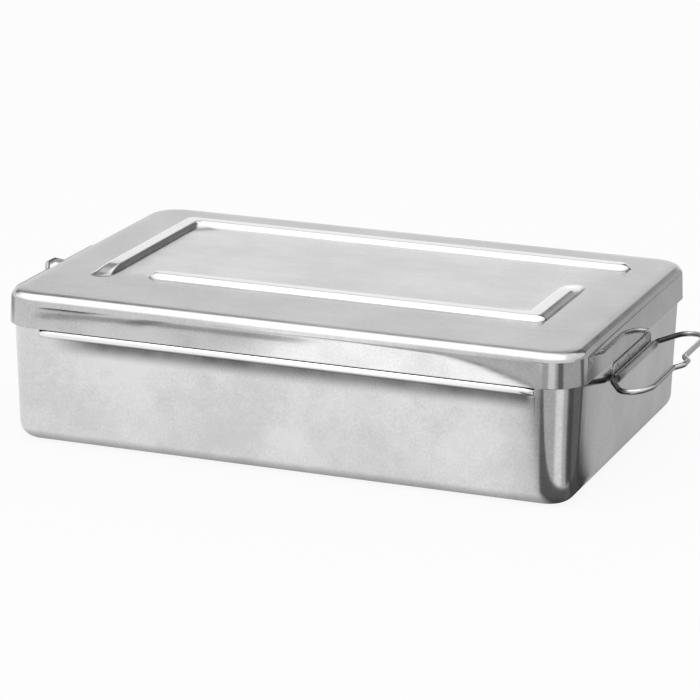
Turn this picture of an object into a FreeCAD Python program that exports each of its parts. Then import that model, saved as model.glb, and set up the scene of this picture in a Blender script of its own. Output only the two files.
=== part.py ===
import FreeCAD, Part
import math
import os
import Sketcher
from FreeCAD import Vector

# A lidded stainless-steel instrument box: a deep-drawn pan, a lift-off drawn lid with pressed L ribs,
# and a wire bail at each end, which swings in the curled lower edge of a strip welded to the end wall.
# The origin is the centre of the pan's underside, X runs along the box and Z points up. Millimetres.

doc = FreeCAD.newDocument("instrument_box")
sheet = doc.addObject("Spreadsheet::Sheet", "Sizes")

sizes = [
    ("box_length", 303.4, "lid over its top edge, along X"),
    ("box_width", 201.4, "lid over its top edge, along Y"),
    ("lid_corner_radius", 18.0, "plan radius of the lid's corners at its top edge"),
    ("lid_gauge", 0.8, "sheet thickness of the lid"),
    ("lid_height", 78.0, "top panel above the table"),
    ("skirt_depth", 17.0, "top panel down to the skirt's lower edge"),
    ("skirt_flare", 0.8, "how far the skirt leans out on each side at its lower edge"),
    ("lid_edge_radius", 4.5, "rounding between the top panel and the skirt"),
    ("rib_height", 2.6, "how far the ribs stand above the top panel"),
    ("rib_width", 12.6, "width of the ribs over the feet of their flanks"),
    ("rib_lean", 42, "lean of the ribs' flanks from the upright, in degrees"),
    ("far_rib_margin", 31.0, "lid's far edge in to the far rib's centre line"),
    ("far_rib_end_margin", 30.0, "lid's right edge in to the far rib's end centre"),
    ("left_rib_margin", 33.0, "lid's left edge in to the left rib's centre line"),
    ("left_rib_end_margin", 52.5, "lid's near edge in to the left rib's end centre"),
    ("near_rib_margin", 59.0, "lid's near edge in to the near rib's centre line"),
    ("near_rib_end_gap", 30.0, "left rib's centre line to the near rib's end centre"),
    ("right_rib_margin", 40.0, "lid's right edge in to the right rib's centre line"),
    ("right_rib_end_gap", 47.5, "far rib's centre line to the right rib's end centre"),
    ("pan_gauge", 1.0, "sheet thickness of the pan"),
    ("rim_gap", 3.8, "lid's top panel down to the pan's rim"),
    ("pan_side_clearance", 0.5, "gap between the pan's rim and the lid's side, on each side"),
    ("pan_draft", 2.4, "how far each pan wall leans out from its foot to its rim"),
    ("pan_edge_radius", 8.5, "rounding between the pan's bottom and its walls"),
    ("bead_height", 4.4, "stop bead, up the wall"),
    ("bead_overhang", 0.6, "how far the stop bead reaches past the lid's lower edge"),
    ("bead_corner_gap", 3.0, "stop bead's end to the start of the pan's rounded corner"),
    ("bead_round", 1.6, "rounding of the stop bead's outer edge"),
    ("seat_gap", 0.3, "clearance where the lid's edge stands on the stop beads"),
    ("strip_gauge", 0.8, "sheet thickness of the hinge strips"),
    ("strip_length", 66.0, "hinge strip, along Y"),
    ("strip_top_gap", 4.0, "lid's lower edge down to the strip's top edge"),
    ("strip_height", 7.4, "strip's top edge above the hinge axis"),
    ("strip_corner_radius", 3.0, "rounding of the strip's upper corners"),
    ("weld_gap", 0.02, "film between the strip and the end wall"),
    ("weld_spot_diameter", 3.6, "dimple left by a spot weld"),
    ("weld_spot_depth", 0.25, "depth of that dimple"),
    ("weld_spot_pitch", 18.0, "from one spot weld to the next"),
    ("weld_spot_count", 4, "spot welds on a strip"),
    ("knuckle_gap", 0.5, "slot left between the curl's lip and the strip"),
    ("wire_diameter", 2.8, "bail wire"),
    ("hinge_clearance", 0.08, "radial clearance of the wire in the knuckle"),
    ("wire_butt_gap", 0.8, "gap between the wire's two ends, inside the knuckle"),
    ("bail_end_gap", 6.0, "knuckle's end to where the wire starts to bend"),
    ("elbow_reach", 12.8, "hinge axis out to the elbow of the wire"),
    ("elbow_spread", 64.0, "box's middle plane out to the elbow"),
    ("shoulder_spread", 48.0, "box's middle plane out to the grip's shoulder"),
    ("grip_reach", 22.4, "hinge axis out to the grip"),
    ("thumb_reach", 26.2, "hinge axis out to the bump in the grip"),
    ("thumb_foot", 10.4, "box's middle plane out to the foot of the bump"),
    ("thumb_top", 4.4, "box's middle plane out to the top corner of the bump"),
    ("hinge_bend", 3.5, "bend radius of the wire where it leaves the knuckle"),
    ("elbow_bend", 7.0, "bend radius at the elbow"),
    ("shoulder_bend", 11.0, "bend radius at the shoulder"),
    ("thumb_bend", 2.8, "bend radii of the bump"),
    ("right_bail_angle", 5.0, "right bail above the horizontal, as it rests"),
    ("left_bail_angle", 43.0, "left bail above the horizontal, as it rests"),
]

for row, (name, value, meaning) in enumerate(sizes, start=1):
    sheet.set("A%d" % row, name)
    sheet.set("B%d" % row, str(value))
    sheet.set("C%d" % row, meaning)
    sheet.setAlias("B%d" % row, name)

# Sizes that follow from the driving ones: how the pan fits in the lid and how the hinge strip fits the pan.
derived = [
    ("skirt_edge", "=lid_height - skirt_depth", "lid's lower edge above the table"),
    ("skirt_angle", "=atan(skirt_flare / skirt_depth)", "lean of the skirt"),
    ("far_rib_length", "=box_length - left_rib_margin - far_rib_end_margin", "far rib, between its centres"),
    ("left_rib_length", "=box_width - far_rib_margin - left_rib_end_margin", "left rib, between its centres"),
    ("near_rib_length", "=box_length - left_rib_margin - near_rib_end_gap - right_rib_margin",
     "near rib, between its centres"),
    ("right_rib_length", "=box_width - far_rib_margin - right_rib_end_gap - near_rib_margin",
     "right rib, between its centres"),
    ("rib_fold", "=lid_gauge * (1 - sin(rib_lean * 1 deg)) / cos(rib_lean * 1 deg)",
     "rib's foot, outside to inside"),
    ("pan_height", "=lid_height - lid_gauge - rim_gap", "pan's rim above the table"),
    ("pan_angle", "=atan(pan_draft / pan_height)", "lean of the pan's walls"),
    ("pan_inset", "=lid_gauge + pan_side_clearance", "lid's top edge in to the pan's rim"),
    ("foot_length", "=box_length - 2 * (pan_inset + pan_draft)", "pan along X, at its foot"),
    ("foot_width", "=box_width - 2 * (pan_inset + pan_draft)", "pan along Y, at its foot"),
    ("foot_radius", "=lid_corner_radius - pan_inset - pan_draft", "pan's plan corner radius at its foot"),
    ("lower_length", "=box_length + 2 * skirt_flare", "lid along X, at its lower edge"),
    ("lower_width", "=box_width + 2 * skirt_flare", "lid along Y, at its lower edge"),
    ("lower_radius", "=lid_corner_radius + skirt_flare", "lid's plan corner radius at its lower edge"),
    ("bead_length", "=box_length - 2 * (lid_corner_radius + bead_corner_gap)", "stop bead, along the wall"),
    ("bead_level", "=skirt_edge - seat_gap - bead_height / 2", "stop bead's middle above the table"),
    ("bead_face", "=lower_width / 2 + bead_overhang", "stop bead's outer face, from the middle plane"),
    ("wall_at_bead", "=foot_width / 2 + pan_draft * bead_level / pan_height", "long wall at the stop bead"),
    ("bead_depth", "=bead_face - wall_at_bead + pan_gauge / 2", "stop bead from its face into the wall"),
    ("knuckle_inner", "=wire_diameter / 2 + hinge_clearance", "inner radius of the curl"),
    ("knuckle_outer", "=knuckle_inner + strip_gauge", "outer radius of the curl"),
    ("lip_angle", "=180 deg - acos((knuckle_inner - knuckle_gap) / knuckle_outer)", "end of the curl's lip"),
    ("knuckle_height", "=skirt_edge - strip_top_gap - strip_height", "hinge axis above the table"),
    ("wall_at_hinge", "=foot_length / 2 + pan_draft * knuckle_height / pan_height", "end wall at the hinge"),
    ("hinge_reach", "=wall_at_hinge + (weld_gap + knuckle_outer) / cos(pan_angle)",
     "hinge axis from the middle"),
]

for row, (name, formula, meaning) in enumerate(derived, start=len(sizes) + 1):
    sheet.set("A%d" % row, name)
    sheet.set("B%d" % row, formula)
    sheet.set("C%d" % row, meaning)
    sheet.setAlias("B%d" % row, name)

doc.recompute()


def size(name):
    """The sheet's value of one size, as a plain number."""
    value = sheet.get(name)
    return float(getattr(value, "Value", value))


def evaluate(expression):
    """The value of an expression on the sheet, as a plain number."""
    value = sheet.evalExpression(expression.replace("Sizes.", ""))
    return float(getattr(value, "Value", value))


def new_body(label):
    body = doc.addObject("PartDesign::Body", label)
    body.Label = label
    return body


def new_sketch(body, name, role="XY_Plane", offset=None):
    """A sketch on one of the body's own planes. The offset is an expression along the plane's normal."""
    sketch = body.newObject("Sketcher::SketchObject", name)
    plane = [feature for feature in body.Origin.OriginFeatures if feature.Role == role][0]
    sketch.AttachmentSupport = [(plane, "")]
    sketch.MapMode = "FlatFace"
    if offset:
        sketch.setExpression("AttachmentOffset.Base.z", offset)
    return sketch


START, END, CENTRE = range(1, 4)
ORIGIN = (-1, START)


def constrain(sketch, kind, *where):
    return sketch.addConstraint(Sketcher.Constraint(kind, *where))


def dimension(sketch, expression, kind, *where):
    """A dimension that follows an expression on the sheet."""
    index = constrain(sketch, kind, *where, evaluate(expression))
    sketch.setExpression("Constraints[%d]" % index, expression)


def line(sketch, start, end):
    return sketch.addGeometry(Part.LineSegment(Vector(*start, 0), Vector(*end, 0)), False)


def arc(sketch, centre, radius, start, sweep):
    """An arc drawn anticlockwise from the start angle, both angles in degrees."""
    circle = Part.Circle(Vector(*centre, 0), Vector(0, 0, 1), radius)
    first = math.radians(start)
    return sketch.addGeometry(Part.ArcOfCircle(circle, first, first + math.radians(sweep)), False)


def join(sketch, outline):
    """Joins each edge's end to the next one's start, smoothly unless both are straight."""
    for here, following in zip(outline, outline[1:] + outline[:1]):
        straight = [isinstance(sketch.Geometry[edge], Part.LineSegment) for edge in (here, following)]
        constrain(sketch, "Coincident" if all(straight) else "Tangent", here, END, following, START)


def rounded_rectangle(sketch, length, width, radius):
    """Four sides and four quarter-round corners about the origin. The sizes are expressions."""
    half_x = evaluate(length) / 2
    half_y = evaluate(width) / 2
    r = evaluate(radius)
    in_x = half_x - r
    in_y = half_y - r
    outline = [
        arc(sketch, (in_x, -in_y), r, 270, 90),
        line(sketch, (half_x, -in_y), (half_x, in_y)),
        arc(sketch, (in_x, in_y), r, 0, 90),
        line(sketch, (in_x, half_y), (-in_x, half_y)),
        arc(sketch, (-in_x, in_y), r, 90, 90),
        line(sketch, (-half_x, in_y), (-half_x, -in_y)),
        arc(sketch, (-in_x, -in_y), r, 180, 90),
        line(sketch, (-in_x, -half_y), (in_x, -half_y)),
    ]
    join(sketch, outline)
    right, top, left, bottom = outline[1::2]
    for side in (right, left):
        constrain(sketch, "Vertical", side)
    for side in (top, bottom):
        constrain(sketch, "Horizontal", side)
    for corner in outline[2::2]:
        constrain(sketch, "Equal", outline[0], corner)
    dimension(sketch, radius, "Radius", outline[0])
    dimension(sketch, "(%s) / 2" % length, "DistanceX", *ORIGIN, right, START)
    dimension(sketch, "(%s) / 2" % length, "DistanceX", left, START, *ORIGIN)
    dimension(sketch, "(%s) / 2" % width, "DistanceY", *ORIGIN, top, START)
    dimension(sketch, "(%s) / 2" % width, "DistanceY", bottom, START, *ORIGIN)


def long_slot(sketch, length, height, level):
    """A slot with round ends, centred on the sketch's upright axis at the given level."""
    r = evaluate(height) / 2
    run = evaluate(length) / 2 - r
    z = evaluate(level)
    outline = [
        arc(sketch, (run, z), r, 270, 180),
        line(sketch, (run, z + r), (-run, z + r)),
        arc(sketch, (-run, z), r, 90, 180),
        line(sketch, (-run, z - r), (run, z - r)),
    ]
    join(sketch, outline)
    right, top, left, bottom = outline
    constrain(sketch, "Horizontal", top)
    constrain(sketch, "Horizontal", bottom)
    dimension(sketch, "(%s) / 2" % height, "Radius", right)
    half_run = "(%s - (%s)) / 2" % (length, height)
    dimension(sketch, half_run, "DistanceX", *ORIGIN, right, CENTRE)
    dimension(sketch, half_run, "DistanceX", left, CENTRE, *ORIGIN)
    dimension(sketch, level, "DistanceY", *ORIGIN, right, CENTRE)


def l_outline(sketch, turned, from_end, from_side, long_leg, short_leg, half_width):
    """An L with round ends and a round outer corner. Unturned, its corner is at the far left."""
    way = -1 if turned else 1
    base = 180 if turned else 0
    r = evaluate(half_width)
    run = evaluate(long_leg)
    drop = evaluate(short_leg)
    corner_x = -way * evaluate(from_end)
    corner_y = way * evaluate(from_side)

    def place(x, y):
        return (corner_x + way * x, corner_y + way * y)

    outline = [
        arc(sketch, place(0, 0), r, base + 90, 90),
        line(sketch, place(-r, 0), place(-r, -drop)),
        arc(sketch, place(0, -drop), r, base + 180, 180),
        line(sketch, place(r, -drop), place(r, -r)),
        line(sketch, place(r, -r), place(run, -r)),
        arc(sketch, place(run, 0), r, base + 270, 180),
        line(sketch, place(run, r), place(0, r)),
    ]
    join(sketch, outline)
    corner, outer_side, foot, inner_side, inner_run, tip, outer_run = outline
    for upright in (outer_side, inner_side):
        constrain(sketch, "Vertical", upright)
    for level in (inner_run, outer_run):
        constrain(sketch, "Horizontal", level)
    constrain(sketch, "Equal", corner, foot)
    constrain(sketch, "Equal", corner, tip)
    dimension(sketch, half_width, "Radius", corner)
    centre = (corner, CENTRE)
    left_to_right = [(*centre, *ORIGIN), (*centre, tip, CENTRE)]
    low_to_high = [(*ORIGIN, *centre), (foot, CENTRE, *centre)]
    if turned:
        left_to_right = [pair[2:] + pair[:2] for pair in left_to_right]
        low_to_high = [pair[2:] + pair[:2] for pair in low_to_high]
    dimension(sketch, from_end, "DistanceX", *left_to_right[0])
    dimension(sketch, long_leg, "DistanceX", *left_to_right[1])
    dimension(sketch, from_side, "DistanceY", *low_to_high[0])
    dimension(sketch, short_leg, "DistanceY", *low_to_high[1])


def add_feature(body, kind, name, **settings):
    """A feature of the body. A text setting on a size is an expression, any other is a plain value."""
    feature = body.newObject("PartDesign::" + kind, name)
    for key, value in settings.items():
        if isinstance(value, str) and "Sizes." in value:
            feature.setExpression(key, value)
        else:
            setattr(feature, key, value)
    doc.recompute()
    return feature


def volume_change(feature):
    return feature.Shape.Volume - feature.BaseFeature.Shape.Volume


def edge_names(feature, wanted):
    """The names of the feature's edges for which the test is true."""
    return ["Edge%d" % (i + 1) for i, edge in enumerate(feature.Shape.Edges) if wanted(edge)]


def lies_at(edge, level, axis="Z"):
    """True for an edge that lies flat in the plane at this level of the axis."""
    box = edge.BoundBox
    low = getattr(box, axis + "Min")
    high = getattr(box, axis + "Max")
    return abs(low - level) < 0.01 and abs(high - level) < 0.01


def fillet(body, name, base, edges, radius):
    return add_feature(body, "Fillet", name, Base=(base, edges), Radius=radius)


# The lid: a shallow drawn shell, open below, whose skirt leans out a little towards its lower edge.
def make_lid():
    body = new_body("lid")
    body.setExpression("Placement.Base.z", "Sizes.skirt_edge")
    outline = new_sketch(body, "lid_outline")
    rounded_rectangle(outline, "Sizes.lower_length", "Sizes.lower_width", "Sizes.lower_radius")
    add_feature(body, "Pad", "lid_block", Profile=outline, Length="Sizes.skirt_depth",
                TaperAngle="-Sizes.skirt_angle")
    inside = new_sketch(body, "lid_inside_outline")
    rounded_rectangle(inside, "Sizes.lower_length - 2 * Sizes.lid_gauge",
                      "Sizes.lower_width - 2 * Sizes.lid_gauge", "Sizes.lower_radius - Sizes.lid_gauge")
    hollow = add_feature(body, "Pocket", "lid_inside", Profile=inside, Reversed=True,
                         Length="Sizes.skirt_depth - Sizes.lid_gauge", TaperAngle="-Sizes.skirt_angle")
    assert volume_change(hollow) < 0
    top = size("skirt_depth")
    under = top - size("lid_gauge")
    coved = fillet(body, "lid_inside_edge", hollow, edge_names(hollow, lambda edge: lies_at(edge, under)),
                   "Sizes.lid_edge_radius - Sizes.lid_gauge")
    fillet(body, "lid_edge", coved, edge_names(coved, lambda edge: lies_at(edge, top)),
           "Sizes.lid_edge_radius")

    for rib in (far_rib, near_rib):
        outline = new_sketch(body, rib.__name__ + "_outline", offset="Sizes.skirt_depth")
        rib(outline, "Sizes.rib_width / 2")
        add_feature(body, "Pad", rib.__name__, Profile=outline, Length="Sizes.rib_height",
                    TaperAngle="-Sizes.rib_lean * 1 deg")
    for rib in (far_rib, near_rib):
        outline = new_sketch(body, rib.__name__ + "_inside", offset="Sizes.skirt_depth - Sizes.lid_gauge")
        rib(outline, "Sizes.rib_width / 2 - Sizes.rib_fold")
        hollow = add_feature(body, "Pocket", rib.__name__ + "_hollow", Profile=outline, Reversed=True,
                             Length="Sizes.rib_height", TaperAngle="-Sizes.rib_lean * 1 deg")
        assert volume_change(hollow) < 0


def far_rib(sketch, half_width):
    """The far and left legs, whose corner is at the far left."""
    l_outline(sketch, False, "Sizes.box_length / 2 - Sizes.left_rib_margin",
              "Sizes.box_width / 2 - Sizes.far_rib_margin",
              "Sizes.far_rib_length", "Sizes.left_rib_length", half_width)


def near_rib(sketch, half_width):
    """The near and right legs, whose corner is at the near right."""
    l_outline(sketch, True, "Sizes.box_length / 2 - Sizes.right_rib_margin",
              "Sizes.box_width / 2 - Sizes.near_rib_margin",
              "Sizes.near_rib_length", "Sizes.right_rib_length", half_width)


# The pan: drawn deeper, open above, with walls that lean out towards the rim so that pans nest.
# A stop bead is pressed out of each long wall, just below the lid, and is hollow on the inside.
def make_pan():
    body = new_body("base_pan")
    outline = new_sketch(body, "pan_outline")
    rounded_rectangle(outline, "Sizes.foot_length", "Sizes.foot_width", "Sizes.foot_radius")
    add_feature(body, "Pad", "pan_block", Profile=outline, Length="Sizes.pan_height",
                TaperAngle="Sizes.pan_angle")
    inside = new_sketch(body, "pan_inside_outline", offset="Sizes.pan_height")
    lean = "2 * (Sizes.pan_draft - Sizes.pan_gauge)"
    rounded_rectangle(inside, "Sizes.foot_length + " + lean, "Sizes.foot_width + " + lean,
                      "Sizes.foot_radius + Sizes.pan_draft - Sizes.pan_gauge")
    hollow = add_feature(body, "Pocket", "pan_inside", Profile=inside,
                         Length="Sizes.pan_height - Sizes.pan_gauge", TaperAngle="-Sizes.pan_angle")
    assert volume_change(hollow) < 0
    floor = size("pan_gauge")
    coved = fillet(body, "pan_inside_edge", hollow, edge_names(hollow, lambda edge: lies_at(edge, floor)),
                   "Sizes.pan_edge_radius - Sizes.pan_gauge")
    fillet(body, "pan_edge", coved, edge_names(coved, lambda edge: lies_at(edge, 0)),
           "Sizes.pan_edge_radius")
    for side, name in ((1, "near"), (-1, "far")):
        face = "%d * Sizes.bead_face" % side
        sketch = new_sketch(body, name + "_bead_outline", "XZ_Plane", face)
        long_slot(sketch, "Sizes.bead_length", "Sizes.bead_height", "Sizes.bead_level")
        bead = add_feature(body, "Pad", name + "_bead", Profile=sketch, Reversed=side > 0,
                           Length="Sizes.bead_depth")
        at_face = edge_names(bead, lambda edge: lies_at(edge, -side * size("bead_face"), "Y"))
        fillet(body, name + "_bead_round", bead, at_face, "Sizes.bead_round")
    for side, name in ((1, "near"), (-1, "far")):
        face = "%d * (Sizes.bead_face - Sizes.pan_gauge)" % side
        sketch = new_sketch(body, name + "_groove_outline", "XZ_Plane", face)
        long_slot(sketch, "Sizes.bead_length - 2 * Sizes.pan_gauge",
                  "Sizes.bead_height - 2 * Sizes.pan_gauge", "Sizes.bead_level")
        groove = add_feature(body, "Pocket", name + "_groove", Profile=sketch, Reversed=side < 0,
                             Length="Sizes.bead_depth")
        assert volume_change(groove) < 0


# A hinge strip: a flat strip welded to the end wall, whose lower edge curls out and round the wire.
# It is drawn about the hinge axis, with its back towards -X, and leans as the wall does.
def make_strip():
    body = new_body("right_hinge_bracket")
    body.setExpression("Placement.Base.x", "Sizes.hinge_reach")
    body.setExpression("Placement.Base.z", "Sizes.knuckle_height")
    body.Placement.Rotation = FreeCAD.Rotation(Vector(0, 1, 0), size("pan_angle"))
    body.setExpression("Placement.Rotation.Angle", "Sizes.pan_angle")
    section = new_sketch(body, "strip_section", "XZ_Plane")
    inner = size("knuckle_inner")
    outer = size("knuckle_outer")
    top = size("strip_height")
    lip = size("lip_angle")
    ray = Vector(math.cos(math.radians(lip)), math.sin(math.radians(lip)), 0)
    front = line(section, (-inner, top), (-inner, 0))
    inside = arc(section, (0, 0), inner, 180, 180 + lip)
    edge = line(section, tuple(ray * inner)[:2], tuple(ray * outer)[:2])
    outside = arc(section, (0, 0), outer, 180, 180 + lip)
    back = line(section, (-outer, top), (-outer, 0))
    crown = line(section, (-outer, top), (-inner, top))
    constrain(section, "Tangent", front, END, inside, START)
    constrain(section, "Tangent", back, END, outside, START)
    constrain(section, "Coincident", inside, END, edge, START)
    constrain(section, "Coincident", edge, END, outside, END)
    constrain(section, "Coincident", back, START, crown, START)
    constrain(section, "Coincident", crown, END, front, START)
    constrain(section, "Coincident", inside, CENTRE, *ORIGIN)
    constrain(section, "Coincident", outside, CENTRE, *ORIGIN)
    constrain(section, "Vertical", front)
    constrain(section, "Vertical", back)
    constrain(section, "Horizontal", crown)
    dimension(section, "Sizes.knuckle_inner", "Radius", inside)
    dimension(section, "Sizes.knuckle_outer", "Radius", outside)
    dimension(section, "Sizes.strip_height", "DistanceY", *ORIGIN, crown, START)
    dimension(section, "Sizes.knuckle_gap", "DistanceX", front, END, edge, END)
    constrain(section, "PointOnObject", *ORIGIN, edge)
    strip = add_feature(body, "Pad", "strip", Profile=section, Length="Sizes.strip_length",
                        SideType="Symmetric")

    def upper_corner(edge):
        box = edge.BoundBox
        return box.XLength > size("strip_gauge") / 2 and box.YLength < 0.01 and box.ZMin > top - 0.01

    fillet(body, "strip_corners", strip, edge_names(strip, upper_corner), "Sizes.strip_corner_radius")
    spot = new_sketch(body, "weld_spot", "YZ_Plane", "-Sizes.knuckle_inner")
    circle = spot.addGeometry(Part.Circle(Vector(0, 0, 0), Vector(0, 0, 1), 1), False)
    dimension(spot, "Sizes.weld_spot_diameter / 2", "Radius", circle)
    dimension(spot, "Sizes.weld_spot_pitch * (Sizes.weld_spot_count - 1) / 2", "DistanceX",
              circle, CENTRE, *ORIGIN)
    dimension(spot, "(Sizes.strip_height + Sizes.knuckle_outer) / 2", "DistanceY", *ORIGIN, circle, CENTRE)
    dimple = add_feature(body, "Pocket", "weld_dimple", Profile=spot, Length="Sizes.weld_spot_depth")
    assert volume_change(dimple) < 0
    along = (spot, ["H_Axis"])
    row = add_feature(body, "LinearPattern", "weld_row", Originals=[dimple], Direction=along,
                      Mode="Spacing", Offset="Sizes.weld_spot_pitch", Occurrences="Sizes.weld_spot_count")
    body.Tip = row
    return body


# A bail: one wire bent into a flat loop. It is drawn about its hinge axis, in its own plane, with the grip
# towards +X. Its ends meet in the middle of the hinge, inside the knuckle.
def make_bail(label, side, rest_angle):
    body = new_body(label)
    body.setExpression("Placement.Base.x", "%d * Sizes.hinge_reach" % side)
    body.setExpression("Placement.Base.z", "Sizes.knuckle_height")
    about_y = "-Sizes.%s" % rest_angle if side > 0 else "180 + Sizes.%s" % rest_angle
    body.Placement.Rotation = FreeCAD.Rotation(Vector(0, 1, 0), evaluate(about_y))
    body.setExpression("Placement.Rotation.Angle", about_y)
    path = new_sketch(body, label + "_path")
    half_loop = [
        ("0", "Sizes.strip_length / 2 + Sizes.bail_end_gap", "Sizes.hinge_bend"),
        ("Sizes.elbow_reach", "Sizes.elbow_spread", "Sizes.elbow_bend"),
        ("Sizes.grip_reach", "Sizes.shoulder_spread", "Sizes.shoulder_bend"),
        ("Sizes.grip_reach", "Sizes.thumb_foot", "Sizes.thumb_bend"),
        ("Sizes.thumb_reach", "Sizes.thumb_top", "Sizes.thumb_bend"),
    ]
    other_half = [(x, "-(%s)" % y, bend) for x, y, bend in reversed(half_loop)]
    corners = half_loop + other_half
    ends = [("0", "Sizes.wire_butt_gap / 2"), ("0", "-Sizes.wire_butt_gap / 2")]
    points = [ends[0]] + [corner[:2] for corner in corners] + [ends[1]]
    places = [Vector(evaluate(x), evaluate(y), 0) for x, y in points]
    bends = [evaluate(corner[2]) for corner in corners]
    lines, arcs = bent_path(path, places, bends)
    for (x, y), place, index in zip(points, places, range(len(points))):
        mark = path.addGeometry(Part.Point(place), True)
        if x == "0":
            constrain(path, "Vertical", *ORIGIN, mark, START)
        else:
            dimension(path, x, "DistanceX", *ORIGIN, mark, START)
        if place.y > 0:
            dimension(path, y, "DistanceY", *ORIGIN, mark, START)
        else:
            dimension(path, "-(%s)" % y, "DistanceY", mark, START, *ORIGIN)
        if index == 0:
            constrain(path, "Coincident", mark, START, lines[0], START)
        elif index == len(points) - 1:
            constrain(path, "Coincident", mark, START, lines[-1], END)
        else:
            constrain(path, "PointOnObject", mark, START, lines[index - 1])
            constrain(path, "PointOnObject", mark, START, lines[index])
    for bend, (x, y, radius) in zip(arcs, corners):
        dimension(path, radius, "Radius", bend)
    section = new_sketch(body, label + "_section", "XZ_Plane", "-Sizes.wire_butt_gap / 2")
    circle = section.addGeometry(Part.Circle(Vector(0, 0, 0), Vector(0, 0, 1), 1), False)
    constrain(section, "Coincident", circle, CENTRE, *ORIGIN)
    dimension(section, "Sizes.wire_diameter / 2", "Radius", circle)
    doc.recompute()
    wire = add_feature(body, "AdditivePipe", label + "_wire", Profile=section, Spine=path)
    expected = math.pi * (size("wire_diameter") / 2) ** 2 * path.Shape.Length
    assert abs(wire.Shape.Volume / expected - 1) < 0.01
    return body


def bent_path(sketch, places, bends):
    """Straight runs between the places, joined by tangent arcs. Returns the lines and the arcs."""
    lines = []
    arcs = []
    start = places[0]
    for before, corner, after, radius in zip(places, places[1:], places[2:], bends):
        come = (corner - before).normalize()
        go = (after - corner).normalize()
        turn = math.atan2(come.x * go.y - come.y * go.x, come.dot(go))
        cut = radius * math.tan(abs(turn) / 2)
        left = 1 if turn > 0 else -1
        stop = corner - come * cut
        centre = stop + Vector(-come.y, come.x, 0) * radius * left
        lines.append(sketch.addGeometry(Part.LineSegment(start, stop), False))
        spoke = stop - centre
        first = math.degrees(math.atan2(spoke.y, spoke.x))
        sweep = math.degrees(abs(turn))
        arcs.append(arc(sketch, tuple(centre)[:2], radius, first if left > 0 else first - sweep, sweep))
        start = corner + go * cut
        if left < 0:
            constrain(sketch, "Tangent", lines[-1], END, arcs[-1], END)
        else:
            constrain(sketch, "Tangent", lines[-1], END, arcs[-1], START)
    lines.append(sketch.addGeometry(Part.LineSegment(start, places[-1]), False))
    for index, bend in enumerate(arcs):
        begins = sketch.Geometry[lines[index + 1]].StartPoint
        ends_there = sketch.Geometry[bend].EndPoint.distanceToPoint(begins) < 0.01
        constrain(sketch, "Tangent", bend, END if ends_there else START, lines[index + 1], START)
    return lines, arcs


make_pan()
make_lid()
right_strip = make_strip()
left_strip = doc.addObject("Part::Mirroring", "left_hinge_bracket")
left_strip.Label = "left_hinge_bracket"
left_strip.Source = right_strip
left_strip.Normal = (1, 0, 0)
make_bail("right_handle", 1, "right_bail_angle")
make_bail("left_handle", -1, "left_bail_angle")
doc.recompute()

nodes = ["base_pan", "lid", "right_hinge_bracket", "left_hinge_bracket", "right_handle", "left_handle"]
faults = [obj.Label for obj in doc.Objects if "Invalid" in obj.State or "Error" in obj.State]
shapes = {label: doc.getObjectsByLabel(label)[0].Shape for label in nodes}
faults += [label for label, shape in shapes.items() if shape.isNull() or not shape.isValid()]
if faults:
    raise RuntimeError("these did not build: " + ", ".join(faults))

os.makedirs("parts", exist_ok=True)
for label, shape in shapes.items():
    shape.exportStep("parts/%s.step" % label)
    box = shape.BoundBox
    print("%-20s %2d solid, %9.1f mm3, x %.1f to %.1f, y %.1f to %.1f, z %.1f to %.1f" % (
        label, len(shape.Solids), shape.Volume, box.XMin, box.XMax, box.YMin, box.YMax, box.ZMin, box.ZMax))
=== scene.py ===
# %% [markdown]
# # A lidded steel instrument box
# The box is deep-drawn from sheet steel and polished: a pan, a lift-off lid with two pressed L ribs, and a
# wire bail at each end that swings in a strip with a curled edge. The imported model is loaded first, as the
# frame that gives every piece its place. Its solids are true in size, but their facets would show in a
# mirror finish, so each surface is worked out again here, with smooth rounds and the same measures.

# %% The frame
import math

import bmesh
import bpy
import numpy as np
from mathutils import Matrix, Vector


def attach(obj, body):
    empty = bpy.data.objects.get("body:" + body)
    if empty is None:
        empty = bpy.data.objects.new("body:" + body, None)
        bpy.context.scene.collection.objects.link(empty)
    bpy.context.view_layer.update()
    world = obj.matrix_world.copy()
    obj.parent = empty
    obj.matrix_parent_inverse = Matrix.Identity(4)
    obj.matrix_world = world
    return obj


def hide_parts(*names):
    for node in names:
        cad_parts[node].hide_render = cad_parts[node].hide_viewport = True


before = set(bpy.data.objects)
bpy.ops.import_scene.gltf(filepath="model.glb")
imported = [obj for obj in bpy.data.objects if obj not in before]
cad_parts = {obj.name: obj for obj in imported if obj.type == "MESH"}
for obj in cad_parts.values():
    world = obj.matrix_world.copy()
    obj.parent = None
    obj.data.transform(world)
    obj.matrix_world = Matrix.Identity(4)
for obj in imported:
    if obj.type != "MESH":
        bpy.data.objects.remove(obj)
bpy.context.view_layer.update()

# %% [markdown]
# ## From arrays to a mesh
# Each surface is a grid of points, computed as one array of shape rows x columns x 3 in millimetres. The
# faces of a grid follow from its shape alone, so they are an index array. Patches of a piece meet along
# shared lines, and merging the doubled points there closes the piece. A face points outwards when the
# column direction crossed with the row direction does.

# %% Grids and pieces
MM = 0.001


def grid_faces(rows, columns, wrap_rows=False, wrap_columns=False):
    """Four corners for each cell of a grid: here, next column, next column and row, next row."""
    i = np.arange(rows if wrap_rows else rows - 1)[:, None]
    j = np.arange(columns if wrap_columns else columns - 1)[None, :]
    after_i = (i + 1) % rows
    after_j = (j + 1) % columns
    corners = [i * columns + j, i * columns + after_j, after_i * columns + after_j, after_i * columns + j]
    return np.stack([np.broadcast_to(c, (i.size, j.size)) for c in corners], axis=-1).reshape(-1, 4)


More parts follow.
